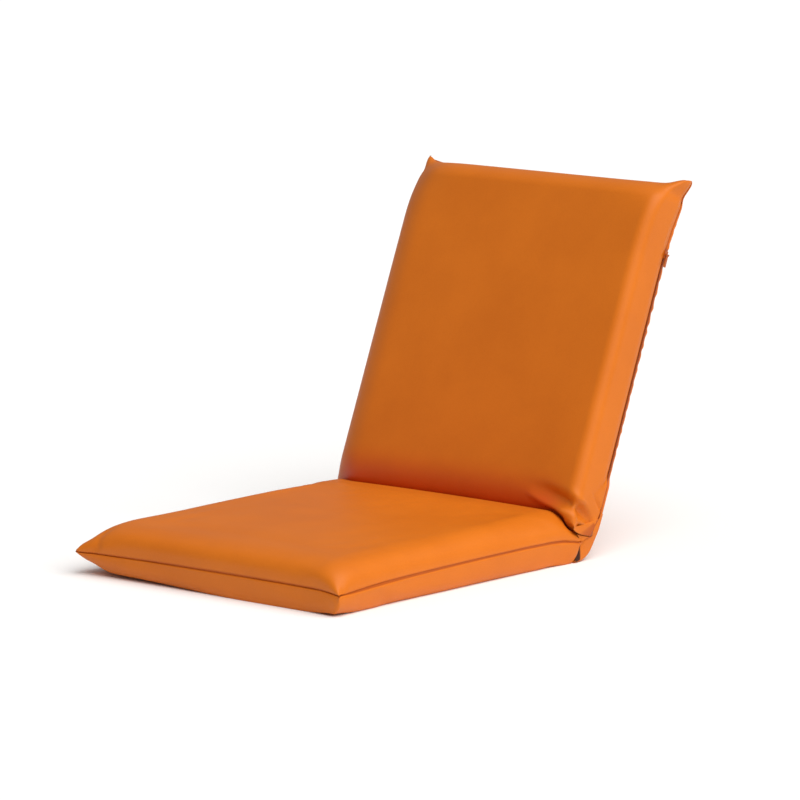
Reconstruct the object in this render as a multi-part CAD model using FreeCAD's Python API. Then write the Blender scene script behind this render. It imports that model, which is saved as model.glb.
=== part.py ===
"""Legless folding floor chair: two leatherette pads on steel tube frames, joined by two ratchet hinges."""

import FreeCAD, Part
import math
import os

# Driving dimensions, in millimetres and degrees.
PAD_WIDTH = 448.0           # across the pads, halfway along their sides
CORNER_OUT = 6.0            # the outer corners stand this far out past the sides
SEAT_REACH = 500.0          # hinge axis to the seat's front seam
BACK_REACH = 508.0          # hinge axis to the back's top seam
AXIS_HEIGHT = 28.0          # hinge axis above the floor, and above the back's rear face
PAD_FACE = 42.0             # hinge axis to the pads' soft faces
CROWN = 2.0                 # the middle of each face stands this much higher
OPEN_ANGLE = 112.5          # angle between seat and back as modelled, the second lock
FOLDED_ANGLE = 22.5         # the same angle with the back folded down on the seat
NOTCH_STEP = 22.5           # one click of the ratchet
COVER = 1.2                 # leatherette with its backing
ROOM = 0.6                  # left between the cover and what it holds
TUBE = 16.0                 # frame tube, outside
TUBE_WALL = 1.5
HINGE_X = 198.0             # middle of each hinge and of each frame rail
ZIP_START = 34.0            # along the back from the hinge axis
ZIP_END = 412.0
AXIS_Y = 240.0              # the origin is the middle of the seat's flat base

# Places in a pad's own directions, worked out from these.
HALF = PAD_WIDTH / 2
FLOOR = -AXIS_HEIGHT
SEAT_SEAM = 8.0             # seams, measured from the hinge axis plane towards the sitter
BACK_SEAM = -20.0
RAIL = -11.0                # plane of the frame tubes, measured the same way
HEEL_RADIUS = 42.0          # the rounded end of each pad beside the crease
SEAT_HEEL = HEEL_RADIUS + 1.0
BACK_HEEL = 59.0
AXIS_ROOM = 25.5            # radius round the axis that the pads leave free
HINGE_ROOM = 38.5           # and the wider pocket at each hinge
FOLD_SLOPE = math.tan(math.radians(FOLDED_ANGLE / 2))
FAR = 700.0
TUBE_START = 66.0           # frame tubes begin here, away from the axis
FRAME_END = 466.0           # middle of the tube across each frame's far end
BEND = 45.0
CROSS_AT = 250.0
STRAPS = (115.0, 185.0, 315.0, 385.0)
STRAP_WIDTH = 40.0
STRAP_HALF = 9.8            # half the height of a strap's loop, outside
STRAP_THICK = 1.5
PADDING_TOP = -21.4         # top of the thin padding under each frame
FELT_LOW = -0.9
FELT_HIGH = 0.7
FOAM_LOW = 1.2
FOAM_START = 30.0


# Places: x across, s along a pad away from the hinge axis, t towards the sitter.
def seat(x, s, t):
    return FreeCAD.Vector(x, AXIS_Y - s, AXIS_HEIGHT + t)


def back(x, s, t):
    lean = math.radians(180 - OPEN_ANGLE)
    y = AXIS_Y + s * math.cos(lean) - t * math.sin(lean)
    z = AXIS_HEIGHT + s * math.sin(lean) + t * math.cos(lean)
    return FreeCAD.Vector(x, y, z)


# Plain forms between planes square to X, and rods along a pad.
def line(a, b):
    return Part.LineSegment(a, b).toShape()


def arc(a, b, c):
    return Part.Arc(a, b, c).toShape()


def plate(at, points, xs):
    corners = [at(min(xs), s, t) for s, t in points]
    face = Part.Face(Part.makePolygon(corners + corners[:1]))
    return face.extrude(FreeCAD.Vector(abs(xs[1] - xs[0]), 0, 0))


def block(at, xs, s, t):
    return plate(at, [(s[0], t[0]), (s[1], t[0]), (s[1], t[1]), (s[0], t[1])], xs)


def disc(at, centre, radius, xs):
    start = at(min(xs), centre[0], centre[1])
    return Part.makeCylinder(radius, abs(xs[1] - xs[0]), start, FreeCAD.Vector(1, 0, 0))


def rod(at, x, s, t, radius):
    start = at(x, s[0], t)
    run = at(x, s[1], t) - start
    return Part.makeCylinder(radius, run.Length, start, run)


def pin(at, x, s, t, radius):
    """A round pin through a pad's thickness."""
    start = at(x, s, t[0])
    run = at(x, s, t[1]) - start
    return Part.makeCylinder(radius, run.Length, start, run)


def clean(shape):
    return shape.removeSplitter()


# The pads: one closed form each, crowned, with sides that pull in between the corners.
def pad_section(at, s, half, low, seam, high, inset, shoulder):
    """One outline across a pad: flat underside, two arcs up each side, and a crowned face."""
    rise = high - CROWN - seam
    drop = seam - low
    foot = [at(side * (half - inset), s, low) for side in (-1, 1)]
    rim = [at(side * half, s, seam) for side in (-1, 1)]
    face = [at(side * (half - shoulder), s, seam + rise) for side in (-1, 1)]
    low_mid = [at(side * (half - 0.25 * inset), s, seam - 0.68 * drop) for side in (-1, 1)]
    high_mid = [at(side * (half - 0.27 * shoulder), s, seam + 0.66 * rise) for side in (-1, 1)]
    edges = [
        line(foot[0], foot[1]),
        arc(foot[1], low_mid[1], rim[1]),
        arc(rim[1], high_mid[1], face[1]),
        arc(face[1], at(0, s, high), face[0]),
        arc(face[0], high_mid[0], rim[0]),
        arc(rim[0], low_mid[0], foot[0]),
    ]
    return Part.Wire(edges)


def heel_sections(seam, heel, shrink, low):
    """Outlines over the rounded end beside the crease, where the face rises from the axis."""
    half = HALF - shrink
    found = []
    if heel - HEEL_RADIUS > 10:
        found.append((1.0 + shrink, half, low, seam, seam + 10.0 - shrink, 12.0, 30.0))
        found.append((9.0 + shrink, half, low, seam, seam + 16.0 - shrink, 12.0, 30.0))
    for inward in (1.0, 6.0, 14.0, 26.0, 40.0):
        radius = HEEL_RADIUS - shrink
        rise = math.sqrt(radius ** 2 - (radius - inward) ** 2)
        rim = min(seam, 0.3 * rise - 2.0)
        s = heel - radius + inward
        found.append((s, half, low, rim, rise + CROWN * inward / radius, 12.0, 34.0))
    return found


def pad(at, reach, seam, heel, shrink=0.0):
    """A pad's outside form, or with shrink, the same form that much smaller all round."""
    face = PAD_FACE + CROWN - shrink
    low = FLOOR - 0.5 + shrink
    sections = heel_sections(seam, heel, shrink, low)
    for s in (heel + 40, 0.5 * reach, reach - 130):
        sections.append((s, HALF - shrink, low, seam, face, 12.0, 36.0))
    # inward from the far seam, flare of the corners, share of the height above and below the seam
    ends = ((80, 0.3, 0.99, 1.0), (48, 0.6, 0.95, 1.0), (26, 0.85, 0.84, 0.94), (11, 1.0, 0.60, 0.72),
            (3, 1.0, 0.34, 0.42), (0, 1.0, 0.12, 0.14))
    for inward, flare, up, down in ends:
        half = HALF + CORNER_OUT * flare - shrink
        high = seam + (face - seam) * up
        foot = seam - (seam - low) * down
        sections.append((reach - shrink - inward, half, foot, seam, high, 12.0 * down, 36.0 * up))
    return Part.makeLoft([pad_section(at, *section) for section in sections], True, False)


def seat_form(shrink=0.0):
    form = pad(seat, SEAT_REACH, SEAT_SEAM, SEAT_HEEL, shrink)
    return form.cut(block(seat, (-FAR, FAR), (-FAR, FAR), (FLOOR - 50, FLOOR)))


def back_form(shrink=0.0):
    return pad(back, BACK_REACH, BACK_SEAM, BACK_HEEL, shrink)


def axis_channel():
    return disc(seat, (0, 0), AXIS_ROOM, (-FAR, FAR))


def hinge_pockets():
    sides = [disc(seat, (0, 0), HINGE_ROOM, (side * 187, side * 209)) for side in (-1, 1)]
    return sides[0].fuse(sides[1])


def under_fold(at):
    """The part of a pad that the other pad never reaches, even folded right down."""
    return plate(at, [(0.5, -80), (FAR, -80), (FAR, FAR * FOLD_SLOPE), (0.5, 0.5 * FOLD_SLOPE)], (-FAR, FAR))


def below(at, t):
    return block(at, (-FAR, FAR), (-FAR, FAR), (-90, t))


# Covers: four sewn panels and the strip that wraps round behind the hinge line.
def seat_cover():
    return seat_form().cut(seat_form(COVER)).cut(axis_channel())


def back_cover():
    slot = block(back, (HALF - 14, HALF + 12), (ZIP_START - 3, ZIP_END + 2), (BACK_SEAM - 3.6, BACK_SEAM + 3.6))
    return back_form().cut(back_form(COVER)).cut(axis_channel()).cut(slot)


def base_side():
    return below(seat, SEAT_SEAM).common(under_fold(seat))


def cover_hinge_wrap():
    lean = 180 - OPEN_ANGLE
    middle = seat(-HALF + 12, 0, 0)
    along = FreeCAD.Vector(1, 0, 0)
    outer = Part.makeCylinder(AXIS_HEIGHT, 2 * HALF - 24, middle, along, lean)
    inner = Part.makeCylinder(AXIS_HEIGHT - COVER, 2 * HALF - 24, middle, along, lean)
    sheet = outer.cut(inner)
    sheet.rotate(middle, along, down_angle(outer, middle))
    return sheet


def down_angle(sector, middle):
    """Turn that brings the sector's first edge straight down, to meet the seat's base panel."""
    centre = sector.CenterOfMass - middle
    now = math.degrees(math.atan2(centre.z, centre.y))
    return (-90 + (180 - OPEN_ANGLE) / 2) - now


# Padding: a foam slab over each frame, its heel beside the crease, thin padding below, and felt.
def foam_room():
    """What a foam slab leaves free for its frame, straps and felt."""
    return (-HINGE_X - 10.8, HINGE_X + 10.8), (-FAR, FRAME_END + 11)


def slab_foam(form, at):
    xs, run = foam_room()
    foam = form.common(under_fold(at)).cut(block(at, xs, run, (-90, FOAM_LOW)))
    foam = foam.cut(below(at, PADDING_TOP + ROOM))
    foam = foam.cut(block(at, (-FAR, FAR), (-FAR, FOAM_START), (-90, 90)))
    return foam.cut(hinge_pockets())


def heel_foam(form, at):
    return form.cut(under_fold(at)).cut(axis_channel()).cut(hinge_pockets())


def zip_pocket():
    return block(back, (HALF - 6.4, HALF + 20), (ZIP_START - 6, ZIP_END + 8), (BACK_SEAM - 9, BACK_SEAM + 9))


def padding(form, at):
    thin = form.common(below(at, PADDING_TOP))
    return thin.cut(block(at, (-FAR, FAR), (-FAR, FOAM_START), (-90, 90))).cut(hinge_pockets())


def felt(at):
    return block(at, (-HINGE_X - 4, HINGE_X + 4), (TUBE_START + 4, FRAME_END + 2), (FELT_LOW, FELT_HIGH))


# Frames: a bent tube, a tube across it, and elastic straps looped round its rails.
def bent_path(at):
    x = HINGE_X
    end = FRAME_END
    turn = BEND * (1 - math.sqrt(0.5))
    return Part.Wire([
        line(at(-x, TUBE_START, RAIL), at(-x, end - BEND, RAIL)),
        arc(at(-x, end - BEND, RAIL), at(-x + turn, end - turn, RAIL), at(-x + BEND, end, RAIL)),
        line(at(-x + BEND, end, RAIL), at(x - BEND, end, RAIL)),
        arc(at(x - BEND, end, RAIL), at(x - turn, end - turn, RAIL), at(x, end - BEND, RAIL)),
        line(at(x, end - BEND, RAIL), at(x, TUBE_START, RAIL)),
    ])


def bent_rod(at, radius):
    start = at(-HINGE_X, TUBE_START, RAIL)
    ring = Part.makeCircle(radius, start, at(-HINGE_X, TUBE_START + 1, RAIL) - start)
    return bent_path(at).makePipeShell([Part.Wire(ring)], True, False)


def rivet_places():
    return [(side * HINGE_X, TUBE_START + 18) for side in (-1, 1)]


def frame_tube(at):
    tube = bent_rod(at, TUBE / 2).cut(bent_rod(at, TUBE / 2 - TUBE_WALL))
    for x, s in rivet_places():
        tube = tube.cut(pin(at, x, s, (RAIL - TUBE, RAIL + TUBE), 2.05))
    return tube


def frame_rivets(at):
    rivets = []
    for x, s in rivet_places():
        shank = pin(at, x, s, (RAIL - TUBE / 2 - 0.4, RAIL + TUBE / 2 + 0.4), 2.0)
        heads = [pin(at, x, s, (RAIL + side * (TUBE / 2 + 0.05), RAIL + side * (TUBE / 2 + 1.3)), 3.4)
                 for side in (-1, 1)]
        rivets.append(shank.fuse(heads))
    return Part.makeCompound([clean(rivet) for rivet in rivets])


def cross_tube(at):
    def bar(radius):
        start = at(-HINGE_X, CROSS_AT, RAIL)
        return Part.makeCylinder(radius, 2 * HINGE_X, start, FreeCAD.Vector(1, 0, 0))

    tube = bar(6.0).cut(bar(4.8))
    for side in (-1, 1):
        tube = tube.cut(rod(at, side * HINGE_X, (CROSS_AT - 20, CROSS_AT + 20), RAIL, TUBE / 2))
    return tube


def strap_outline(at, s, half):
    x = HINGE_X
    edges = [
        line(at(-x, s, RAIL - half), at(x, s, RAIL - half)),
        arc(at(x, s, RAIL - half), at(x + half, s, RAIL), at(x, s, RAIL + half)),
        line(at(x, s, RAIL + half), at(-x, s, RAIL + half)),
        arc(at(-x, s, RAIL + half), at(-x - half, s, RAIL), at(-x, s, RAIL - half)),
    ]
    return Part.Face(Part.Wire(edges))


def webbing(at):
    """Flat elastic bands, each stretched round both rails."""
    bands = []
    for middle in STRAPS:
        s = middle - STRAP_WIDTH / 2
        run = at(0, middle + STRAP_WIDTH / 2, 0) - at(0, s, 0)
        outside = strap_outline(at, s, STRAP_HALF).extrude(run)
        bands.append(outside.cut(strap_outline(at, s, STRAP_HALF - STRAP_THICK).extrude(run)))
    return Part.makeCompound(bands)


# Ratchet hinges: two case plates hold a notched arm and the pawl that drops into its notches.
GEAR_RADIUS = 20.0
GEAR_THICK = 4.0
CASE_RADIUS = 24.0
CASE_THICK = 1.6
CASE_ROOM = 0.3
PIN_RADIUS = 4.0
NOTCH_DEPTH = 3.4
NOTCH_HALF = 6.4            # degrees either side at the rim
PAWL_TIP = (20.4, -25.0)    # radius and angle about the axis, lifted clear of the gear
PAWL_REACH = 16.0           # tip to pivot, along the rim
PAWL_BACK = 5.0             # pivot this much further out than the tip
PAWL_DROP = 9.5             # degrees the pawl turns to sit in a notch
SPIGOT = 6.4
ARM_RIVETS = (50.0, 58.0)


def polar(radius, angle):
    return radius * math.cos(math.radians(angle)), radius * math.sin(math.radians(angle))


def pawl_places():
    tip = polar(*PAWL_TIP)
    out = polar(1, PAWL_TIP[1])
    along = polar(1, PAWL_TIP[1] + 90)
    pivot = [tip[i] + PAWL_BACK * out[i] + PAWL_REACH * along[i] for i in (0, 1)]
    return tip, pivot, out, along


def layer(side, low, high):
    """Limits across the hinge, measured outwards from its middle plane."""
    return side * (HINGE_X + low), side * (HINGE_X + high)


def gear_layer(side):
    return layer(side, -GEAR_THICK / 2, GEAR_THICK / 2)


def case_plate(side, outward):
    near = GEAR_THICK / 2 + CASE_ROOM
    xs = layer(side, outward * near, outward * (near + CASE_THICK))
    pivot = pawl_places()[1]
    shape = disc(seat, (0, 0), CASE_RADIUS, xs)
    shape = shape.fuse(disc(seat, pivot, 6.5, xs))
    arm = [(6, -23.2), (36, -19.6), (64, -18.6), (64, -3.4), (38, 0.4), (34, 8.5), (20, 13)]
    shape = clean(shape.fuse(plate(seat, arm, xs)))
    shape = shape.cut(disc(seat, (0, 0), PIN_RADIUS + 0.05, xs))
    shape = shape.cut(disc(seat, pivot, 2.55, xs))
    for s, t, radius in case_rivet_places():
        shape = shape.cut(disc(seat, (s, t), radius + 0.05, xs))
    return shape


def case_rivet_places():
    places = [(s, RAIL, 2.0) for s in ARM_RIVETS]
    s, t = polar(22.0, -110)
    return places + [(s, t, 1.2)]


def rivet(at, side, centre, radius, head):
    """A rivet right through both case plates, with a flat head on each."""
    reach = GEAR_THICK / 2 + CASE_ROOM + CASE_THICK
    shape = disc(at, centre, radius, layer(side, -reach - 0.2, reach + 0.2))
    for outward in (-1, 1):
        xs = layer(side, outward * (reach + 0.02), outward * (reach + 1.1))
        shape = shape.fuse(disc(at, centre, head, xs))
    return clean(shape)


def case_rivets(side):
    return Part.makeCompound([rivet(seat, side, (s, t), r, r + 1.6) for s, t, r in case_rivet_places()])


def pivot_pin(side):
    return rivet(seat, side, (0, 0), PIN_RADIUS, 7.0)


def pawl_pin(side):
    return rivet(seat, side, pawl_places()[1], 2.5, 4.0)


def seat_arm(side):
    """The rod inside the seat's tube, with a flat end that is riveted between the case plates."""
    xs = gear_layer(side)
    tongue = plate(seat, [(45, RAIL - 5), (TUBE_START, RAIL - 5), (TUBE_START, RAIL + 5), (45, RAIL + 5)], xs)
    shape = clean(tongue.fuse(rod(seat, side * HINGE_X, (TUBE_START - 0.5, 104), RAIL, SPIGOT)))
    for s in ARM_RIVETS:
        shape = shape.cut(disc(seat, (s, RAIL), 2.05, xs))
    return shape.cut(pin(seat, side * HINGE_X, TUBE_START + 18, (RAIL - TUBE, RAIL + TUBE), 2.05))


def notch_angles():
    """Directions of the notches on the gear: one for each lock, from folded down to flat."""
    tip, pivot, _, _ = pawl_places()
    turn = math.radians(PAWL_DROP)
    ds = tip[0] - pivot[0]
    dt = tip[1] - pivot[1]
    s = pivot[0] + ds * math.cos(turn) + dt * math.sin(turn)
    t = pivot[1] - ds * math.sin(turn) + dt * math.cos(turn)
    seated = math.degrees(math.atan2(t, s))
    clicks = round((180 - FOLDED_ANGLE) / NOTCH_STEP)
    return [FOLDED_ANGLE - seated + NOTCH_STEP * click for click in range(clicks + 1)]


def gear_arm(side):
    """The back's arm: a notched disc on the pin, and a rod that goes into the back's tube."""
    xs = gear_layer(side)
    shape = disc(back, (0, 0), GEAR_RADIUS, xs)
    arm = [(8, 6), (30, -4), (TUBE_START, RAIL + 6), (TUBE_START, RAIL - 6), (30, -17), (8, -14)]
    shape = clean(shape.fuse(plate(back, arm, xs)))
    for angle in notch_angles():
        wedge = [polar(GEAR_RADIUS - NOTCH_DEPTH, angle), polar(GEAR_RADIUS + 1, angle - NOTCH_HALF),
                 polar(GEAR_RADIUS + 1, angle + NOTCH_HALF)]
        shape = shape.cut(plate(back, wedge, xs))
    shape = shape.cut(disc(back, (0, 0), PIN_RADIUS + 0.04, xs))
    shape = shape.fuse(rod(back, side * HINGE_X, (TUBE_START - 0.5, 104), RAIL, SPIGOT))
    return clean(shape).cut(pin(back, side * HINGE_X, TUBE_START + 18, (RAIL - TUBE, RAIL + TUBE), 2.05))


def pawl(side):
    xs = layer(side, -GEAR_THICK / 2 + 0.1, GEAR_THICK / 2 - 0.1)
    tip, pivot, out, along = pawl_places()

    def spot(outward, onward):
        return [tip[i] + outward * out[i] + onward * along[i] for i in (0, 1)]

    outline = [spot(0, 0.35), spot(3.4, 1.5), spot(3.0, 12), spot(7.5, 14), spot(8.0, -1.0), spot(3.4, -1.5),
               spot(0, -0.35)]
    shape = clean(plate(seat, outline, xs).fuse(disc(seat, pivot, 4.0, xs)))
    return shape.cut(disc(seat, pivot, 2.55, xs))


def pawl_spring(side):
    """A bent leaf that leans on the pawl's back, held under the end of the seat's arm."""
    xs = layer(side, -1.4, 1.4)
    tip, _, out, along = pawl_places()

    def spot(outward, onward):
        return [tip[i] + outward * out[i] + onward * along[i] for i in (0, 1)]

    bend = spot(12.0, 0.5)
    outline = [spot(8.3, 3.0), spot(8.3, 2.0), (bend[0], bend[1] - 0.6), (44.6, RAIL - 4.0), (44.6, RAIL - 3.4),
               (bend[0], bend[1])]
    return plate(seat, outline, xs)


# The zip up the back's side: tape, teeth with their stops, slider and pull.
TOOTH = (1.6, 3.2, 4.2)     # along the zip, across it, and out from the tape
TOOTH_PITCH = 2.6
TAPE_X = HALF - 4.6         # outer face of the tape
SLIDER_LONG = 11.0


def zip_tape():
    tape = (TAPE_X - 0.8, TAPE_X)
    return block(back, tape, (ZIP_START - 4, ZIP_END + 6), (BACK_SEAM - 4.6, BACK_SEAM + 8))


def zip_teeth():
    half = TOOTH[1] / 2
    count = int((ZIP_END - ZIP_START - 6) / TOOTH_PITCH)
    teeth = []
    for number in range(count):
        s = ZIP_START + 4 + number * TOOTH_PITCH
        teeth.append(block(back, (TAPE_X, TAPE_X + TOOTH[2]), (s, s + TOOTH[0]), (BACK_SEAM - half, BACK_SEAM + half)))
    return Part.makeCompound(teeth)


def zip_stops():
    def stop(s):
        return block(back, (TAPE_X, TAPE_X + 4.8), (s, s + 2.0), (BACK_SEAM - 2.8, BACK_SEAM + 2.8))

    return Part.makeCompound([stop(ZIP_START), stop(ZIP_END - 1)])


def pull_hinge():
    """Where the pull turns, on the slider: out from the tape, and along the zip."""
    return TAPE_X + 8.2, ZIP_END - 1.6 - SLIDER_LONG / 2


def zip_slider():
    top = ZIP_END - 1.6
    run = (top - SLIDER_LONG, top)
    shape = block(back, (TAPE_X + 4.7, TAPE_X + 6.1), run, (BACK_SEAM - 3.2, BACK_SEAM + 3.2))
    for side in (-1, 1):
        flange = (BACK_SEAM + side * 3.2, BACK_SEAM + side * 2.2)
        shape = shape.fuse(block(back, (TAPE_X + 0.5, TAPE_X + 5), run, (min(flange), max(flange))))
    x, s = pull_hinge()
    for side in (-1, 1):
        post = (BACK_SEAM + side * 2.9, BACK_SEAM + side * 2.0)
        shape = shape.fuse(block(back, (TAPE_X + 6.0, x + 1.0), (s - 1.2, s + 1.2), (min(post), max(post))))
    shape = shape.fuse(pin(back, x, s, (BACK_SEAM - 2.5, BACK_SEAM + 2.5), 0.6))
    return clean(shape)


def zip_pull():
    x, s = pull_hinge()
    tab = block(back, (x - 0.6, x + 0.6), (s - 17, s - 0.9), (BACK_SEAM - 1.8, BACK_SEAM + 1.8))
    eye = pin(back, x, s, (BACK_SEAM - 1.8, BACK_SEAM + 1.8), 1.25)
    return clean(tab.fuse(eye)).cut(pin(back, x, s, (BACK_SEAM - 3, BACK_SEAM + 3), 0.66))


def build():
    os.makedirs("parts", exist_ok=True)
    cover = seat_cover()
    save("seat_cover_base", cover.common(base_side()))
    save("seat_cover_top", cover.cut(base_side()))
    cover = back_cover()
    save("back_cover_rear", cover.common(below(back, BACK_SEAM)))
    save("back_cover_front", cover.cut(below(back, BACK_SEAM)))
    save("cover_hinge_wrap", cover_hinge_wrap())

    form = seat_form(COVER + ROOM)
    save("seat_foam", slab_foam(form, seat))
    save("seat_foam_heel", heel_foam(form, seat))
    save("seat_padding", padding(form, seat))
    save("seat_felt", felt(seat))
    form = back_form(COVER + ROOM)
    save("back_foam", slab_foam(form, back).cut(zip_pocket()))
    save("back_foam_heel", heel_foam(form, back).cut(zip_pocket()))
    save("back_padding", padding(form, back).cut(zip_pocket()))
    save("back_felt", felt(back))

    for name, at in (("seat", seat), ("back", back)):
        save(name + "_frame_tube", frame_tube(at))
        save(name + "_cross_tube", cross_tube(at))
        save(name + "_frame_rivets", frame_rivets(at))
        save(name + "_webbing", webbing(at))

    for name, side in (("left", 1), ("right", -1)):
        save("hinge_case_outer_" + name, case_plate(side, 1))
        save("hinge_case_inner_" + name, case_plate(side, -1))
        save("hinge_case_rivets_" + name, case_rivets(side))
        save("hinge_pin_" + name, pivot_pin(side))
        save("hinge_seat_arm_" + name, seat_arm(side))
        save("hinge_gear_arm_" + name, gear_arm(side))
        save("pawl_" + name, pawl(side))
        save("pawl_pin_" + name, pawl_pin(side))
        save("pawl_spring_" + name, pawl_spring(side))

    save("zip_tape", zip_tape())
    save("zip_teeth", zip_teeth())
    save("zip_stops", zip_stops())
    save("zip_slider", zip_slider())
    save("zip_pull", zip_pull())


def save(name, shape):
    shape.exportStep("parts/" + name + ".step")
    print(name, shape.isValid(), len(shape.Solids), round(shape.Volume / 1000, 2), "cm3")


build()
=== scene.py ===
import math

import bmesh
import bpy
import numpy as np
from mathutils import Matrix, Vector


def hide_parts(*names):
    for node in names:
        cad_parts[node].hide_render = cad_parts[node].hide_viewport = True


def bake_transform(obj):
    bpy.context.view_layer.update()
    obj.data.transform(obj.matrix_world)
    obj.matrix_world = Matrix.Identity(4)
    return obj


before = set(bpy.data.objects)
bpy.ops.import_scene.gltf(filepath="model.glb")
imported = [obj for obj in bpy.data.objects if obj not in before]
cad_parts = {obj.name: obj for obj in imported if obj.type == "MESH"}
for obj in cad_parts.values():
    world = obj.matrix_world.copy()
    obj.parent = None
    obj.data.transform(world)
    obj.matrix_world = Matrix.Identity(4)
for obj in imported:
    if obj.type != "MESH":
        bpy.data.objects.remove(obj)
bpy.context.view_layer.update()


# The photographer's camera: a long lens some seven metres off, a little above the chair, in front of it and to the
# sitter's left, so that the pads hardly taper.
camera = bpy.data.objects.new("camera", bpy.data.cameras.new("camera"))
bpy.context.scene.collection.objects.link(camera)
camera.location = (4.833, -5.519, 1.398)
camera.rotation_euler = (math.radians(90 - 9.09), 0, math.radians(40.56))
camera.data.sensor_width = 36
camera.data.lens = 253.8
camera.data.clip_end = 200
bpy.context.scene.camera = camera


# The photo studio: a white floor that runs out of sight under one very wide lamp, high on the sitter's left, with a
# pale room all round. They're set up first and belong to no piece of the chair.
light = bpy.data.lights.new("wide_lamp", "SUN")
light.energy = 3.5
light.angle = math.radians(70)
light.color = (1.0, 0.985, 0.96)
wide_lamp = bpy.data.objects.new("wide_lamp", light)
bpy.context.scene.collection.objects.link(wide_lamp)
lamp_side = Vector((0.60, -0.07, 0.79))
wide_lamp.rotation_euler = lamp_side.to_track_quat("Z", "Y").to_euler()

world = bpy.data.worlds.new("studio")
bpy.context.scene.world = world
world.use_nodes = True
room = world.node_tree.nodes["Background"]
room.inputs["Color"].default_value = (0.96, 0.98, 1.0, 1)
room.inputs["Strength"].default_value = 0.26
bpy.context.scene.view_settings.view_transform = "Standard"
bpy.context.scene.view_settings.look = "None"

floor_reach = 40
floor_corners = [(-floor_reach, -floor_reach, 0), (floor_reach, -floor_reach, 0),
                 (floor_reach, floor_reach, 0), (-floor_reach, floor_reach, 0)]
floor_mesh = bpy.data.meshes.new("studio_floor")
floor_mesh.from_pydata(floor_corners, [], [(0, 1, 2, 3)])
studio_floor = bpy.data.objects.new("studio_floor", floor_mesh)
bpy.context.scene.collection.objects.link(studio_floor)
floor_paint = bpy.data.materials.new("white_floor")
floor_paint.use_nodes = True
paint_skin = floor_paint.node_tree.nodes["Principled BSDF"]
paint_skin.inputs["Base Color"].default_value = (0.95, 0.95, 0.95, 1)
paint_skin.inputs["Roughness"].default_value = 0.9
paint_skin.inputs["Specular IOR Level"].default_value = 0.1
floor_mesh.materials.append(floor_paint)


# The seat pad: a bag of orange leatherette over a foam slab and its steel frame. A top panel and a base panel are sewn
# together along one seam round the front and both sides, and turned right side out, so each front corner is a thin
# dog-ear. At the crease the top panel tucks down behind the slab.
hinge_y, hinge_z = 240, 28
lean = math.radians(67.5)


def on_seat(points):
    # A point on a pad is in millimetres: x across, towards the zip's side, s along from the hinge line, and t up from
    # it, square to the pad. It comes back in metres in the chair's frame.
    x, s, t = np.moveaxis(points, -1, 0)
    return np.stack([x, hinge_y - s, hinge_z + t], -1) / 1000


def share(value, start, end):
    # 0 before start, 1 after end, smooth between
    t = np.clip((value - start) / (end - start), 0, 1)
    return t * t * (3 - 2 * t)


def bell(value, middle, width):
    # 1 in the middle, and almost 0 from twice the width on
    return np.exp(-((value - middle) / width) ** 2)


def rise(a, reach, power=2.0):
    # the rolled edge of a pad: 0 on the seam, 1 from reach inwards
    return (1 - (1 - np.clip(a / reach, 0, 1)) ** power) ** (1 / power)


def stops(*pairs):
    # a row of numbers through the given stops, each pair being a stop and the steps taken to it
    out = [pairs[0]]
    for value, count in pairs[1:]:
        out += list(np.linspace(out[-1], value, count + 1)[1:])
    return np.array(out)


# Half the pad's width halfway along, how far its edge roll reaches in, the seam's height and the face's height over
# the seam. The back's sides aren't alike: -1 is the sitter's right, 1 the zip's side.
seat_wide, seat_roll, seat_seam, seat_rise = 224.5, 46, 7, 34
back_wide, back_roll, back_seam, back_rise = {-1: 223, 1: 222.5}, {-1: 68, 1: 15}, -20, 61
base_drop = seat_seam + hinge_z
seat_corner, back_corner = (230, 501), (230, 508)


def crown(x, wide):
    # the foam's slight swell, highest in the middle
    return 2.5 * (1 - np.clip(np.abs(x) / wide, 0, 1) ** 2)


def seat_face(x):
    # the height of the face halfway along
    return seat_seam + (seat_rise + crown(x, seat_wide)) * rise(seat_wide - np.abs(x), seat_roll)


def back_face(x):
    # the same for the back
    up = np.where(x < 0, rise(back_wide[-1] + x, back_roll[-1]), rise(224.5 - x, 19, 2.6))
    return back_seam + (back_rise + crown(x, back_wide[1])) * up


def from_corner(x, s, corner):
    # how far a point is from its side's outer corner
    return np.hypot(corner[0] - np.abs(x), corner[1] - s)


def crease(x):
    # where the two heels press together, as (s, t) on the seat and as (s, t) on the back
    full = np.clip((seat_face(x) - seat_seam) / 36, 0, 1) ** 1.5
    seat_t = seat_face(x) - 13 * full - 3 * (1 - full)
    back_t = back_face(x) - 24 * full + 4 * (1 - full)
    seat_s = (back_t - math.cos(lean) * seat_t) / math.sin(lean)
    back_s = -seat_s * math.cos(lean) + seat_t * math.sin(lean)
    return seat_s, seat_t, back_s, back_t


def seat_seam_height(s, x):
    # along each side, from the pinch at the hinge to the front corner, and along the front
    side = np.interp(s, [-19, -12, -3, 3, 9, 17, 40, 62, 117, 200, 294, 401, 472, 500],
                     [4.0, 3.4, 2.2, -0.4, -0.4, 1.6, 4.8, 6.2, 7.0, 6.6, 5.4, 3.4, 0.8, 0.4])
    front = 3.0 - 2.4 * share(np.abs(x), 185, 228) + 1.4 * share(-x, 190, 228)
    return side + (front - side) * share(s, 440, 494)


def draw_in(points, away, beside, ahead, pull, reach):
    # the stitches pull both panels in along the seam: a fine groove, and a softer hollow beside it
    depth = 1.7 * bell(away, 0, 1.2) + pull * bell(away, 0, reach)
    size = np.maximum(np.hypot(beside, ahead), 1e-6)
    points[..., 0] -= np.sign(points[..., 0]) * depth * beside / size
    points[..., 1] -= depth * ahead / size
    return points


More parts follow.
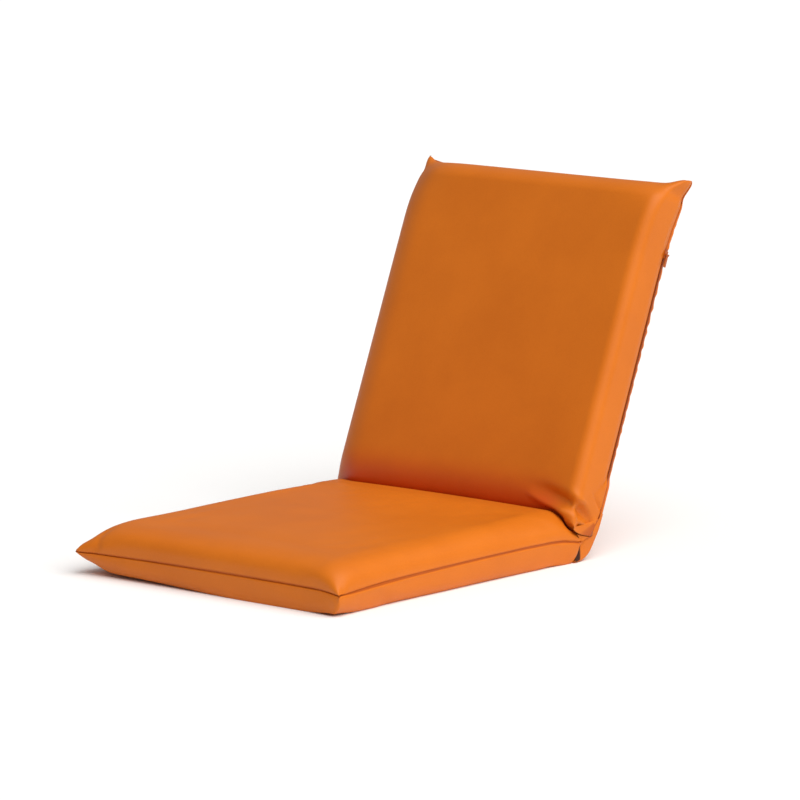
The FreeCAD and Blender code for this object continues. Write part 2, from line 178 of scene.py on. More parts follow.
def outward(points):
    # the panel's outward direction at each grid point
    normal = np.cross(np.gradient(points, axis=1), np.gradient(points, axis=0))
    normal /= np.maximum(np.linalg.norm(normal, axis=-1, keepdims=True), 1e-9)
    middle = normal[normal.shape[0] // 2, normal.shape[1] // 2]
    return normal * np.sign(middle[2] if abs(middle[2]) > 0.3 else 1)


def fold(points, normals, line, width, heights):
    # a pinched ridge, or a valley where the height is negative, along a line of points on the panel
    line = np.array(line, float)
    nearest = np.full(points.shape[:2], 1e9)
    height = np.zeros(points.shape[:2])
    for k in range(len(line) - 1):
        along = line[k + 1] - line[k]
        u = np.clip(((points - line[k]) @ along) / (along @ along), 0, 1)
        gap = np.linalg.norm(points - line[k] - u[..., None] * along, axis=-1)
        closer = gap < nearest
        nearest = np.where(closer, gap, nearest)
        height = np.where(closer, heights[k] + u * (heights[k + 1] - heights[k]), height)
    return points + normals * (height * bell(nearest, 0, width))[..., None]


# A pad is a grid of points. Its columns go across: 0 to 1 is the rolled edge at the sitter's right, 1 to 2 the flat,
# 2 to 3 the other edge. Its rows go once round the pad: 0 to 1 is the outer rolled edge, 1 to 2 the face, 2 to 3 the
# heel; then the same stops are passed backwards, over the heel's hidden side and the rear or base panel.
def turns(columns):
    # each column's angle round its edge roll, a right angle on the flat, and its place across, -1 to 1
    side = np.minimum(np.clip(columns, 0, 1), np.clip(3 - columns, 0, 1))[None, :] * math.pi / 2
    return side, np.clip(2 * columns - 3, -1, 1)[None, :]


def stages(rows):
    # how far each row has come round the outer roll, along the face and round the heel, each 0 to 1
    return np.clip(np.stack([rows, rows - 1, rows - 2]), 0, 1)[..., None]


def stack(x, s, t):
    # the grid of points from its three sheets of numbers
    return np.stack(np.broadcast_arrays(x, s, t), -1)


def seat_bag(columns, rows, rear_rows):
    # ga and gb grow from 0 on the seam to 1 on the flat, ia and ib from 0 to 1 as the roll comes in from the seam
    side, across = turns(columns)
    ga, ia = np.sin(side), 1 - np.cos(side)

    def flare(s):
        # the sides run out a little towards the front corners
        return 6 * share(s, 330, 600) / share(500, 330, 600)

    def front_seam(x):
        # the front edge, bowed out at the corners
        return 495 + 6 * np.abs(x / seat_corner[0]) ** 6

    # the top panel
    outer, run, last = stages(rows)
    gb, ib = np.sin(outer * math.pi / 2) ** 0.75, 1 - np.cos(outer * math.pi / 2) ** 0.75
    x0 = across * (seat_wide - seat_roll * ia)
    seat_s, seat_t, back_s, back_t = crease(x0)
    bend = 8 + 44 * ga
    s = front_seam(x0) - 54 * ib
    s = s + (bend - s) * run
    s = s + (seat_s - bend) * last
    x = across * (seat_wide + flare(s) - seat_roll * ia)
    corner = from_corner(x, s, seat_corner)
    thin = 1 - np.where(x < 0, 0.34, 0.12) * bell(corner, 0, 54)
    seam = seat_seam_height(s, x)
    seam = seam + (seat_seam - seam) * ga * gb
    t = seam + (seat_rise * thin + crown(x0, seat_wide) * (1 - share(s, 300, 500))) * ga * gb
    fall = np.clip(1 - (s - seat_s) / 28, 0, 1)
    t = t - (seat_face(x0) - seat_t) * (1 - np.sqrt(1 - fall ** 2)) * share(last, -1, 0)
    top = draw_in(stack(x, s, t), seat_rise * ga * gb, gb, ga, 0.8, 14)
    facing = outward(top)
    top = fold(top, facing, [(-190, 462, 33), (-197.5, 477, 27), (-195, 494, 13), (-206, 496, 3)], 6,
               [0, -2.2, -2.2, -1])
    top = fold(top, facing, [(-216, 482, 16), (-222, 490, 9), (-226, 497, 4)], 5, [0, 1.6, 0.6])
    top = fold(top, facing, [(214, 478, 22), (222, 487, 11), (229, 493, 3)], 5, [0, -1.2, -1.8])

    # the base panel, flat on the floor, with a rounded corner at the hinge
    outer, run, last = stages(rear_rows)
    gb, ib = np.sin(outer * math.pi / 2), 1 - np.cos(outer * math.pi / 2)
    inset = 13 + 3 * bell(run, 0.66, 0.2) - 4 * bell(run, 0.95, 0.08)
    x0 = across * (seat_wide - inset * ia)
    s = front_seam(x0) - (13 - 9 * share(x0, -80, 80)) * ib
    turn = np.clip((run - 0.96) / 0.04, 0, 1) * math.pi / 2
    s = s + (20 - s) * np.clip(run / 0.96, 0, 1) - 12 * np.sin(turn)
    x = across * (seat_wide + flare(s) - inset * ia)
    corner = from_corner(x, s, seat_corner)
    thin = 1 - np.where(x < 0, 0.75, 0.15) * bell(corner, 0, 34)
    seam = seat_seam_height(s, x)
    floor = -hinge_z + 3.5 * share(-x, -20, 200) * share(s, 380, 480) + 13 * (1 - np.cos(turn))
    t = seam + (floor - seam) * ga * gb * thin
    base = draw_in(stack(x, s, t), base_drop * ga * gb, gb, ga, 0.8, 14)

    # the heel's hidden side, from the crease down behind the slab to the base panel
    x0 = across * (seat_wide - seat_roll * ia)
    down = 1 - last
    seam = seat_seam_height(8, x0)
    foot_t = seam + (-15 - seam) * ga
    close = rise(seat_wide - np.abs(x0), 14) * np.ones_like(down)
    half, rest = np.clip(down / 0.55, 0, 1), np.clip((down - 0.55) / 0.45, 0, 1)
    s = seat_s + (1 - seat_s) * half + 7 * rest
    seam = seat_seam_height(s, x0)
    t = seam + (seat_t - seat_seam_height(seat_s, x0)) * (1 - half) - (15 + seam) * ga * rest ** 0.8
    s = s + (seat_s + (2 - seat_s) * half + 6 * rest - s) * close
    t = t + (seat_t + (-2 - seat_t) * half + (foot_t + 2) * rest - t) * close
    x_crease = across * (seat_wide - seat_roll * ia)
    x = x_crease + (x - x_crease) * down
    return np.concatenate([top, np.where((last > 0)[..., None], stack(x, s, t), base)])


def sewn(name, points):
    # a closed mesh from the grid: the last row meets the first, and each side column folds flat on itself and is sewn
    count, wide = points.shape[:2]
    half = count // 2
    order = np.arange(count * wide).reshape(count, wide)
    for edge in (0, -1):
        order[half + 1:, edge] = order[1:half, edge][::-1]
    below, above = order, np.roll(order, -1, axis=0)
    corners = np.stack([below[:, :-1], below[:, 1:], above[:, 1:], above[:, :-1]], -1).reshape(-1, 4)
    faces = [[int(v) for v in dict.fromkeys(ring)] for ring in corners.tolist()]
    faces = [ring for ring in faces if len(ring) > 2]
    used = np.unique(np.concatenate([np.array(ring) for ring in faces]))
    place = np.zeros(count * wide, int)
    place[used] = np.arange(len(used))
    mesh = bpy.data.meshes.new(name)
    mesh.from_pydata(points.reshape(-1, 3)[used].tolist(), [], [[int(place[v]) for v in ring] for ring in faces])
    shell = bmesh.new()
    shell.from_mesh(mesh)
    bmesh.ops.recalc_face_normals(shell, faces=shell.faces)
    shell.to_mesh(mesh)
    shell.free()
    mesh.polygons.foreach_set("use_smooth", [True] * len(mesh.polygons))
    bag = bpy.data.objects.new(name, mesh)
    bpy.context.scene.collection.objects.link(bag)
    return bag, place[order]


def even(moves, times):
    # the same moves, each averaged with its neighbours
    for _ in range(times):
        wrapped = np.concatenate([moves[-1:], moves, moves[:1]])
        moves = (wrapped[:-2] + 2 * wrapped[1:-1] + wrapped[2:]) / 4
        edged = np.concatenate([moves[:, :1], moves, moves[:, -1:]], 1)
        moves = (edged[:, :-2] + 2 * edged[:, 1:-1] + edged[:, 2:]) / 4
    return moves


def filled(place, bag, most):
    # Stuffs a coarse copy of the pad: cloth a little too large for its foam, blown up by the foam's pressure and held
    # at the heel. Only the puckers are kept, because the pad's own form is set already.
    wide = stops(0, (1, 9), (2, 62), (3, 9))
    long = stops(0, (1, 8), (2, 78), (3, 10))
    long_back = long[1:-1][::-1]
    trial, where = sewn("trial", place(bag(wide, long, long_back)))
    held = trial.vertex_groups.new(name="held")
    heel = np.concatenate([long, long_back]) > 1.97
    held.add(np.unique(where[heel]).tolist(), 1.0, "REPLACE")
    cloth = trial.modifiers.new("cloth", "CLOTH")
    cloth.settings.quality = 4
    cloth.settings.mass = 0.3
    cloth.settings.tension_stiffness = cloth.settings.compression_stiffness = 12
    cloth.settings.shear_stiffness = 4
    cloth.settings.bending_stiffness = 0.25
    cloth.settings.shrink_min = -0.02
    cloth.settings.use_pressure = True
    cloth.settings.uniform_pressure_force = 4
    cloth.settings.effector_weights.gravity = 0
    cloth.settings.vertex_group_mass = "held"
    frames, broad, kept = 20, 40, 0.3
    for step in range(frames + 1):
        bpy.context.scene.frame_set(step)
    blown = trial.evaluated_get(bpy.context.evaluated_depsgraph_get())
    after = np.array([v.co for v in blown.data.vertices])
    before = np.array([v.co for v in trial.data.vertices])
    bpy.context.scene.frame_set(0)
    bpy.data.meshes.remove(trial.data)
    moves = (after - before)[where]
    moves = moves - even(moves, broad)
    far = np.linalg.norm(moves, axis=-1, keepdims=True)
    moves = kept * moves * np.minimum(1, most / np.maximum(far, 1e-9))
    return wide, np.concatenate([long, 6 - long_back, [6]]), np.concatenate([moves, moves[:1]])


def between(stop_list, wanted, values):
    # the values at the stops, read off at the wanted places
    k = np.clip(np.searchsorted(stop_list, wanted, side="right") - 1, 0, len(stop_list) - 2)
    u = (wanted - stop_list[k]) / (stop_list[k + 1] - stop_list[k])
    return values[k] + (values[k + 1] - values[k]) * u.reshape(-1, *[1] * (values.ndim - 1))


def puckers(place, bag, most, columns, rows, rear_rows):
    # the coarse copy's puckers on the fine grid
    wide, loop, moves = filled(place, bag, most)
    moves = between(loop, np.concatenate([rows, 6 - rear_rows]), moves)
    moves = between(wide, columns, moves.swapaxes(0, 1)).swapaxes(0, 1)
    return even(moves, 5)


fine_edge = np.concatenate([[0, 0.0016, 0.0032, 0.0065, 0.011, 0.017, 0.026, 0.04, 0.056, 0.075, 0.1, 0.135],
                            stops(0.18, (1, 15))])
columns = np.concatenate([fine_edge, stops(1, (2, 130))[1:-1], 3 - fine_edge[::-1]])
rows = np.concatenate([fine_edge, stops(1, (2, 150), (3, 30))[1:]])
rear_rows = rows[1:-1][::-1]

pucker_limit = 0.004
seat_points = on_seat(seat_bag(columns, rows, rear_rows))
seat_points = seat_points + puckers(on_seat, seat_bag, pucker_limit, columns, rows, rear_rows)
seat_points[..., 2] = np.maximum(seat_points[..., 2], 0)
seat_cushion, seat_place = sewn("seat_cushion", seat_points)


def fresh_material(name, color, roughness, specular=0.5, metallic=0.0):
    # a plain material, with its nodes, links and skin for the texture that follows
    made = bpy.data.materials.new(name)
    made.use_nodes = True
    skin = made.node_tree.nodes["Principled BSDF"]
    skin.inputs["Base Color"].default_value = (*color, 1)
    skin.inputs["Roughness"].default_value = roughness
    skin.inputs["Specular IOR Level"].default_value = specular
    skin.inputs["Metallic"].default_value = metallic
    return made, made.node_tree.nodes, made.node_tree.links, skin


def node(nodes, kind, **settings):
    # a node with its own settings, and with numbers on its inputs
    made = nodes.new(kind)
    for key, value in settings.items():
        if hasattr(made, key):
            setattr(made, key, value)
        else:
            made.inputs[key.replace("_", " ")].default_value = value
    return made


def lay_on(nodes, links, *textures):
    # the textures lie on the piece itself
    place = nodes.new("ShaderNodeTexCoord").outputs["Object"]
    for texture in textures:
        links.new(place, texture.inputs["Vector"])


def ramp(nodes, links, source, low, high, first, second):
    # a colour that goes from first to second as the source goes from low to high
    made = nodes.new("ShaderNodeValToRGB")
    made.color_ramp.elements[0].position, made.color_ramp.elements[1].position = low, high
    made.color_ramp.elements[0].color, made.color_ramp.elements[1].color = (*first, 1), (*second, 1)
    links.new(source, made.inputs["Fac"])
    return made.outputs["Color"]


leatherette, nodes, links, skin = fresh_material("orange_leatherette", (0.62, 0.15, 0.006), 0.46, specular=0.26)
pebbles = node(nodes, "ShaderNodeTexVoronoi", feature="SMOOTH_F1", Scale=820.0, Smoothness=0.6)
pores = node(nodes, "ShaderNodeTexNoise", Scale=2300.0, Detail=3.0, Roughness=0.6)
clouds = node(nodes, "ShaderNodeTexNoise", Scale=9.0, Detail=4.0, Roughness=0.55)
lay_on(nodes, links, pebbles, pores, clouds)
tone = ramp(nodes, links, clouds.outputs["Fac"], 0.35, 0.65, (0.616, 0.148, 0.0056), (0.664, 0.164, 0.0066))
grain_tone = ramp(nodes, links, pebbles.outputs["Distance"], 0.25, 0.85, (1.0, 1.0, 1.0), (0.90, 0.86, 0.85))
grained = node(nodes, "ShaderNodeMixRGB", blend_type="MULTIPLY", Fac=0.5)
links.new(tone, grained.inputs["Color1"])
links.new(grain_tone, grained.inputs["Color2"])
# painted shade, all three: the shadow in the seams' grooves, a deeper orange above the crease where the only light is
# bounced off the other pad, and near black on the wrap's backing where it shows in the slit beside the seat's end
shade = grained.outputs["Color"]
for marked, kind, color, least, most in (("seam_groove_shade", "MIX", (0.30, 0.035, 0.0015, 1), 0.25, 0.6),
                                         ("crease_painted_shade", "MULTIPLY", (0.88, 0.28, 0.22, 1), 0, 1),
                                         ("inside", "MIX", (0.04, 0.008, 0.001, 1), 0, 1)):
    amount = node(nodes, "ShaderNodeMapRange", From_Min=least, To_Max=most)
    links.new(node(nodes, "ShaderNodeAttribute", attribute_name=marked).outputs["Fac"], amount.inputs["Value"])
    tinted = node(nodes, "ShaderNodeMixRGB", blend_type=kind, Color2=color)
    links.new(amount.outputs["Result"], tinted.inputs["Fac"])
    links.new(shade, tinted.inputs["Color1"])
    shade = tinted.outputs["Color"]
links.new(shade, skin.inputs["Base Color"])
gloss = node(nodes, "ShaderNodeMapRange", To_Min=0.41, To_Max=0.53)
links.new(clouds.outputs["Fac"], gloss.inputs["Value"])
links.new(gloss.outputs["Result"], skin.inputs["Roughness"])
pore_bump = node(nodes, "ShaderNodeBump", Strength=0.12, Distance=0.0002)
pebble_bump = node(nodes, "ShaderNodeBump", Strength=0.22, Distance=0.0004, invert=True)
links.new(pores.outputs["Fac"], pore_bump.inputs["Height"])
links.new(pebbles.outputs["Distance"], pebble_bump.inputs["Height"])
links.new(pore_bump.outputs["Normal"], pebble_bump.inputs["Normal"])
links.new(pebble_bump.outputs["Normal"], skin.inputs["Normal"])
seat_cushion.data.materials.append(leatherette)


def mark(bag, place, values, name):
    # a number at every point of the mesh, for the material to read; a sewn point takes its first row's
    layer = np.zeros(len(bag.data.vertices))
    layer[place.ravel()[::-1]] = values.ravel()[::-1]
    bag.data.attributes.new(name, "FLOAT", "POINT").data.foreach_set("value", layer)


def seam_marks(columns, rows, rear_rows, high, low):
    # how close each point is to the seam, 1 on the stitches
    side = np.sin(turns(columns)[0])
    top = np.sin(stages(rows)[0] * math.pi / 2) * side * high
    base = np.sin(stages(rear_rows)[0] * math.pi / 2) * side * low
    return bell(np.concatenate([top, base]), 0, 1.25)


# painted shadow along the seat's seam groove
mark(seat_cushion, seat_place, seam_marks(columns, rows, rear_rows, seat_rise, base_drop), "seam_groove_shade")
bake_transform(seat_cushion)
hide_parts("seat_cover_base", "seat_cover_top", "seat_foam", "seat_foam_heel", "seat_padding",
            "seat_felt")


# The back pad: a second bag like the seat's, but its seam runs near the rear face, so the front panel also makes the
# tall side walls. The slab sits hard against the sitter's left side, where the zip is, and leaves the other side
# slack. The upper corners are turned out into small ears.
def on_back(points):
    # the same three sizes as on the seat, with the back leant at its rest angle
    x, s, t = np.moveaxis(points, -1, 0)
    return np.stack([x, hinge_y + s * math.cos(lean) - t * math.sin(lean),
                     hinge_z + s * math.sin(lean) + t * math.cos(lean)], -1) / 1000


def eared(points):
    # each upper corner is drawn out past the seams into a small ear, and the cover is pinched in below it
    x, s, t = np.moveaxis(points, -1, 0)
    right = x > 0
    corner_x, corner_s, blunt = *back_corner, 9
    a = np.clip((np.abs(x) - corner_x) / blunt + 1, 0, 1)
    b = np.clip((s - corner_s) / blunt + 1, 0, 1)
    round_x = corner_x - blunt + blunt * a * np.sqrt(1 - b * b / 2) + np.maximum(np.abs(x) - corner_x, 0)
    round_s = corner_s - blunt + blunt * b * np.sqrt(1 - a * a / 2) + np.maximum(s - corner_s, 0)
    x = np.where(a > 0, np.sign(x) * round_x, x)
    s = np.where(b > 0, round_s, s)
    ear = bell(np.hypot(np.abs(x) - 230, s - 507), 0, 14)
    neck = bell(s, 486, 9) * share(np.abs(x), 205, 226)
    out = np.where(right, 4, 0) * ear - np.where(right, 3.5, 2) * neck
    return np.stack([x + np.sign(x) * out, s + 7 * ear, t], -1)


def back_bag(columns, rows, rear_rows):
    side, across = turns(columns)
    right = across > 0
    wide = np.where(right, back_wide[1], back_wide[-1])
    roll = np.where(right, back_roll[1], back_roll[-1])
    # the zip's side is a flat wall up to a rounded corner, the other side one long roll
    tight = back_roll[1]
    wall = back_rise - tight
    run_up = side / (math.pi / 2) * (wall + tight * math.pi / 2)
    bent = np.clip((run_up - wall) / tight, 0, math.pi / 2)
    ga = np.where(right, (np.minimum(run_up, wall) + tight * np.sin(bent)) / back_rise, np.sin(side))
    ia = np.where(right, 1 - np.cos(bent), 1 - np.cos(side))

    def flare(s):
        # the sides run out a little towards the ears
        return (231 - wide) * share(s, 380, 580) / share(508, 380, 580)

    def top_seam(x):
        # the top edge, bowed out at the ears
        return 500 + 8 * np.abs(x / 228) ** 8

    def zip_groove(s, away):
        # the cover is sunk where the zip is sewn in
        zipped = share(s, 88, 98) * (1 - share(s, 408, 414))
        return np.where(right, zipped * np.exp(-(away / 1.9) ** 4), 0)

    def slack(s):
        # the cover stands off below the zip
        return 3.5 * (1 - share(s, 80, 100))

    # the front panel, with the side walls
    outer, run, last = stages(rows)
    gb, ib = np.sin(outer * math.pi / 2), 1 - np.cos(outer * math.pi / 2)
    x0 = across * (wide - roll * ia)
    seat_s, seat_t, back_s, back_t = crease(np.where(x0 > 207.49, 207.5 + 17 * (1 - ga), x0))
    bend = 62 + 24 * ga
    s = top_seam(x0) - 32 * ib
    s = s + (bend - s) * run
    s = s + (back_s - bend) * last
    x = across * (wide + flare(s) - roll * ia)
    corner = from_corner(x, s, back_corner)
    thin = 1 - np.where(x < 0, 0.55, 0.35) * bell(corner, 0, np.where(x < 0, 58, 30))
    seam = back_seam - 6 * bell(corner, 0, 45) + 4 * (1 - share(s, 11, 45))
    t = seam + (back_rise * thin + crown(x0, wide) * (1 - share(s, 300, 508))) * ga * gb
    fall = np.clip(1 - (s - back_s) / 46, 0, 1)
    t = t - (t - back_t) * (1 - np.sqrt(1 - fall ** 2))
    away = back_rise * ga * gb
    x = x + np.where(right, np.maximum(3.5 * share(away, 0.6, 13), slack(s)), 0)
    front = draw_in(stack(x, s, t), away, gb, ga, np.where(right, 0, 1.2), 9)
    front[..., 0] -= zip_groove(s, away)
    front = eared(front)
    facing = outward(front)
    # the folds at the foot of the zip's side, from the long one down to the tucks, then the last of the zip's line
    folds = (
        ([(120, 66, 43), (146, 59, 42.5), (168, 55.3, 42), (192.6, 48.5, 41.5), (214, 43, 38), (225, 37, 18),
          (226.5, 30, -2)], 9, [0, -1, -4, -8, -11, -11, -6]),
        ([(140, 49, 40), (152, 45, 38), (171, 39.4, 35.5), (206.6, 31, 36), (219, 26, 30)], 4.5, [0, 2, 4.5, 6, 4]),
        ([(165, 38, 34), (181, 32.7, 32.5), (199, 26.4, 30.4), (214, 22, 29), (223, 17, 18), (225, 14, -4)],
         4.5, [0, -3, -5, -7, -7, -4]),
        ([(211, 62, 40.5), (221, 53, 33), (226, 45, 18), (226, 30, -10)], 5, [0, 3.5, 5, 3]),
        ([(219, 26, 30), (223, 29, 20), (226, 32, 12)], 2.6, [-1, -3, -1]),
        ([(221, 21.5, 24), (226, 22, 10), (226, 23, -3)], 3.2, [2, 5, 3]),
        ([(226, 66, 6), (226.5, 57, -6), (226, 50, -15), (224, 46, -20)], 2.4, [-0.5, -2.6, -2.6, 0]),
        ([(223.5, 100, -20), (225.5, 88, -16), (226.2, 76, -7), (226.2, 65, 3)], 1.5, [-1.2, -1.8, -1.8, -1.2]),
    )
    for line, width, heights in folds:
        front = fold(front, facing, line, width, heights)

    # the rear panel, with the puckers beside the zip
    outer, run, last = stages(rear_rows)
    gb, ib = np.sin(outer * math.pi / 2), 1 - np.cos(outer * math.pi / 2)
    x_crease = across * (wide - roll * ia)
    ia_rear, ga_rear = 1 - np.cos(side) ** 0.75, np.sin(side) ** 0.75
    inset, rear_foot, rear_drop = 10, 40, 8
    s = top_seam(across * (wide - inset * ia_rear)) - 12 * ib
    s = s + (rear_foot - s) * run
    x = across * (wide + flare(s) - inset * ia_rear)
    corner = from_corner(x, s, back_corner)
    seam = back_seam - 6 * bell(corner, 0, 45)
    t = seam + (-hinge_z - seam) * ga_rear * gb
    away = rear_drop * ga_rear * gb
    x = x + np.where(right, np.maximum(0.7 * share(away, 0.6, 4), slack(s)), 0)
    ripple = np.sin(s / 3.1 + 1.3 * np.sin(s / 23)) * (0.75 + 0.3 * np.sin(s / 41)) + 0.35 * np.sin(s / 1.7 + 2)
    x = x + np.sign(x) * ripple * bell(away, 7, 4) * share(s, 90, 150) * (1 - share(s, 430, 470))
    rear = draw_in(stack(x, s, t), away, gb, ga_rear, np.where(right, 0, 1.2), 9)
    rear[..., 0] -= zip_groove(s, away)
    rear = eared(rear)

    # the heel's hidden side, from the crease to the rear panel's foot
    down = 1 - last
    foot_t = back_seam + (-hinge_z - back_seam) * ga_rear
    close = rise(wide - np.abs(x_crease), 14)
    x_crease = x_crease + np.where(right, slack(s), 0)
    half, rest = np.clip(down / 0.5, 0, 1), np.clip((down - 0.5) / 0.5, 0, 1)
    s = back_s + (rear_foot - back_s) * down
    t = back_t + (foot_t - back_t) * down
    s = s + (back_s + (4 - back_s) * half + 36 * rest - s) * close
    t = t + (back_t + (2 - back_t) * half + (foot_t - 2) * np.sin(rest * math.pi / 2) - t) * close
    x = x_crease + (x - x_crease) * down
    return np.concatenate([front, np.where((last > 0)[..., None], stack(x, s, t), rear)])


back_grid = back_bag(columns, rows, rear_rows)
back_points = on_back(back_grid)
back_points = back_points + puckers(on_back, back_bag, pucker_limit, columns, rows, rear_rows)
back_cushion, back_place = sewn("back_cushion", back_points)
# painted shadow along the back's seam grooves
mark(back_cushion, back_place, seam_marks(columns, rows, rear_rows, back_rise, 9), "seam_groove_shade")
# painted shade: above the crease the only light is what comes off the other pad, so the cover is painted a deeper
# orange there
x, s, t = np.moveaxis(back_grid, -1, 0)
crease_painted_shade = (1 - share(s - crease(x)[2], -12, 66)) * share(t, -12, 14) * (1 - share(np.abs(x), 170, 222))
mark(back_cushion, back_place, crease_painted_shade, "crease_painted_shade")
back_cushion.data.materials.append(leatherette)
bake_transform(back_cushion)
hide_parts("back_cover_front", "back_cover_rear", "back_foam", "back_foam_heel", "back_padding",
            "back_felt")


# The hinge wrap: a strip of the same leatherette that is sewn to both pads, goes round behind the hinge line and
# closes the neck between them. It is drawn tight, so it has no puckers.
def neck_strip(columns, rows, rear_rows):
    side, across = turns(columns)
    ga, ia = np.sin(side), 1 - np.cos(side)
    # its outside: from under the seat, round the hinge line and up the back's rear face
    reach = 27.9
    bent = [(-reach * math.sin(math.radians(a)), -reach * math.cos(math.radians(a))) for a in (8, 20, 33, 47, 60, 67)]
    foot_s, foot_t = -reach * math.sin(lean), -reach * math.cos(lean)
    straight = [(foot_s - up * math.cos(lean), foot_t + up * math.sin(lean)) for up in (12, 26, 44)]
    outside = np.array([(14, -27.6), (4, -reach)] + bent + straight)
    inside = np.array([(13, -24), (11, -18), (8, -10), (4, -4), (-5, 3), (-12, 9), (-17, 14), (-21, 20), (-26, 28),
                       (-31, 33), (-36, 37)])

    def path(points, k):
        u = np.linspace(0, 1, len(points))
        return np.stack([np.interp(k, u, points[:, 0]), np.interp(k, u, points[:, 1])], -1)[:, None, :]

    # the two faces part at the strip's edges, a quarter of the way in
    edge = outside * 0.75 + inside * 0.25
    outer = path(edge, rows) + (path(outside, rows) - path(edge, rows)) * ga[..., None]
    inner = path(edge, rear_rows) + (path(inside, rear_rows) - path(edge, rear_rows)) * ga[..., None] ** 0.5
    st = np.concatenate([outer, inner])
    wide = 222 - 9 * np.where(np.arange(len(st))[:, None] < len(rows), ia, 1 - np.cos(side) ** 0.4)
    x = across * (wide + np.where(across > 0, 3.2 * share(st[..., 1], -12, 14), 0))
    return np.concatenate([x[..., None], st], -1)


strip_rows = stops(0, (1, 40))
strip = neck_strip(columns, strip_rows, strip_rows[1:-1][::-1])
hinge_wrap, wrap_place = sewn("hinge_wrap", on_seat(strip))
# painted shade: the strip's backing, coloured near black where it shows in the slit beside the seat's end
slit_painted_shade = share(strip[..., 1], 1.5, 4.5) * (np.arange(len(strip)) > len(strip_rows) + 1)[:, None]
mark(hinge_wrap, wrap_place, slit_painted_shade, "inside")
hinge_wrap.data.materials.append(leatherette)
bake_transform(hinge_wrap)
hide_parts("cover_hinge_wrap")


# The two frames, one inside each pad: a bent steel tube and a cross tube, powder-coated black, with zinc-plated rivets
# where the hinge arms are fixed. Four elastic straps are stretched over each.
frame_paint, nodes, links, skin = fresh_material("black_powder_coat", (0.03, 0.03, 0.032), 0.5)
orange_peel = node(nodes, "ShaderNodeTexNoise", Scale=900.0, Detail=2.0)
lay_on(nodes, links, orange_peel)
links.new(ramp(nodes, links, orange_peel.outputs["Fac"], 0.3, 0.7, (0.022, 0.022, 0.024), (0.045, 0.045, 0.048)),
          skin.inputs["Base Color"])
peel_bump = node(nodes, "ShaderNodeBump", Strength=0.25, Distance=0.0002)
links.new(orange_peel.outputs["Fac"], peel_bump.inputs["Height"])
links.new(peel_bump.outputs["Normal"], skin.inputs["Normal"])

zinc_steel, nodes, links, skin = fresh_material("zinc_plated_steel", (0.56, 0.56, 0.54), 0.34, metallic=1.0)
spangle = node(nodes, "ShaderNodeTexVoronoi", Scale=260.0)
rolled = node(nodes, "ShaderNodeTexNoise", Scale=60.0, Detail=5.0, Distortion=0.6)
lay_on(nodes, links, spangle, rolled)
links.new(ramp(nodes, links, rolled.outputs["Fac"], 0.3, 0.75, (0.45, 0.45, 0.42), (0.64, 0.64, 0.63)),
          skin.inputs["Base Color"])
dull = node(nodes, "ShaderNodeMapRange", To_Min=0.26, To_Max=0.48)
links.new(spangle.outputs["Distance"], dull.inputs["Value"])
links.new(dull.outputs["Result"], skin.inputs["Roughness"])

webbing, nodes, links, skin = fresh_material("elastic_webbing", (0.04, 0.04, 0.045), 0.75, specular=0.2)
ribs = node(nodes, "ShaderNodeTexWave", wave_type="BANDS", bands_direction="X", Scale=160.0, Distortion=0.4)
picks = node(nodes, "ShaderNodeTexWave", wave_type="BANDS", bands_direction="Y", Scale=110.0, Distortion=0.4)
weave = node(nodes, "ShaderNodeMath", operation="MULTIPLY")
lay_on(nodes, links, ribs, picks)
links.new(ribs.outputs["Fac"], weave.inputs[0])
links.new(picks.outputs["Fac"], weave.inputs[1])
links.new(ramp(nodes, links, weave.outputs["Value"], 0.1, 0.8, (0.018, 0.018, 0.020), (0.065, 0.065, 0.07)),
          skin.inputs["Base Color"])
weave_bump = node(nodes, "ShaderNodeBump", Strength=0.5, Distance=0.0005)
links.new(weave.outputs["Value"], weave_bump.inputs["Height"])
links.new(weave_bump.outputs["Normal"], skin.inputs["Normal"])


def finish_parts(finish, *names):
    for name in names:
        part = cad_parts[name]
        part = bpy.data.objects[part] if isinstance(part, str) else part
        part.data.materials.clear()
        part.data.materials.append(finish)


for pad in ("seat", "back"):
    finish_parts(frame_paint, pad + "_frame_tube", pad + "_cross_tube")
    finish_parts(zinc_steel, pad + "_frame_rivets")
    finish_parts(webbing, pad + "_webbing")


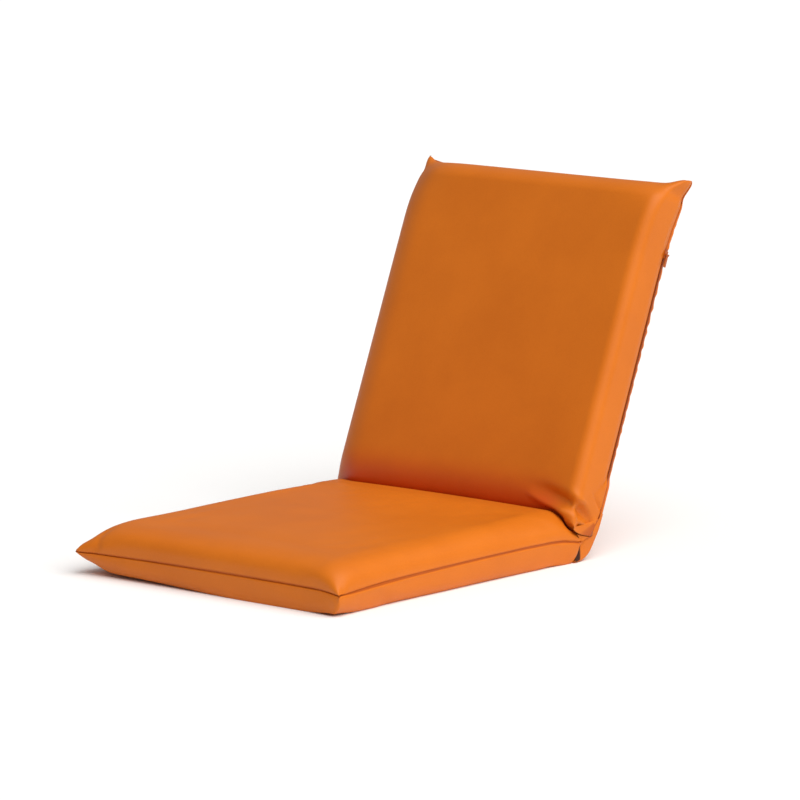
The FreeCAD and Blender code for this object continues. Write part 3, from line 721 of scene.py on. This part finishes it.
# The two ratchet hinges: pressed cases, arms and pins of zinc-plated steel, with an oiled, hardened pawl and its leaf
# spring, which are darker.
hardened_steel, nodes, links, skin = fresh_material("oiled_hardened_steel", (0.32, 0.31, 0.30), 0.3, metallic=1.0)
heat_marks = node(nodes, "ShaderNodeTexNoise", Scale=180.0, Detail=4.0)
lay_on(nodes, links, heat_marks)
links.new(ramp(nodes, links, heat_marks.outputs["Fac"], 0.35, 0.7, (0.22, 0.21, 0.20), (0.38, 0.37, 0.36)),
          skin.inputs["Base Color"])
zinc_kinds = ("hinge_case_outer_", "hinge_case_inner_", "hinge_case_rivets_", "hinge_pin_", "hinge_seat_arm_",
              "hinge_gear_arm_", "pawl_pin_")
for end in ("left", "right"):
    finish_parts(zinc_steel, *[kind + end for kind in zinc_kinds])
    finish_parts(hardened_steel, "pawl_" + end, "pawl_spring_" + end)


# The zip in the back pad's side seam: woven tape, a moulded nylon chain with its end stops, and a painted slider with
# its pull, all close to the cover's colour.
zip_tape, nodes, links, skin = fresh_material("orange_zip_tape", (0.42, 0.085, 0.008), 0.8, specular=0.15)
twill = node(nodes, "ShaderNodeTexWave", wave_type="BANDS", bands_direction="DIAGONAL", Scale=700.0, Distortion=0.3)
lay_on(nodes, links, twill)
links.new(ramp(nodes, links, twill.outputs["Fac"], 0.2, 0.8, (0.33, 0.06, 0.005), (0.48, 0.10, 0.01)),
          skin.inputs["Base Color"])
twill_bump = node(nodes, "ShaderNodeBump", Strength=0.4, Distance=0.0002)
links.new(twill.outputs["Fac"], twill_bump.inputs["Height"])
links.new(twill_bump.outputs["Normal"], skin.inputs["Normal"])

zip_nylon, nodes, links, skin = fresh_material("moulded_zip_nylon", (0.34, 0.06, 0.006), 0.42)
moulding = node(nodes, "ShaderNodeTexNoise", Scale=500.0, Detail=2.0)
lay_on(nodes, links, moulding)
links.new(ramp(nodes, links, moulding.outputs["Fac"], 0.3, 0.7, (0.30, 0.05, 0.005), (0.38, 0.07, 0.007)),
          skin.inputs["Base Color"])

zip_metal, nodes, links, skin = fresh_material("painted_zip_slider", (0.40, 0.085, 0.008), 0.35)
chips = node(nodes, "ShaderNodeTexNoise", Scale=700.0, Detail=5.0, Roughness=0.7)
lay_on(nodes, links, chips)
links.new(ramp(nodes, links, chips.outputs["Fac"], 0.62, 0.78, (0.40, 0.085, 0.008), (0.20, 0.05, 0.012)),
          skin.inputs["Base Color"])
finish_parts(zip_tape, "zip_tape")
finish_parts(zip_nylon, "zip_teeth", "zip_stops")
finish_parts(zip_metal, "zip_slider", "zip_pull")
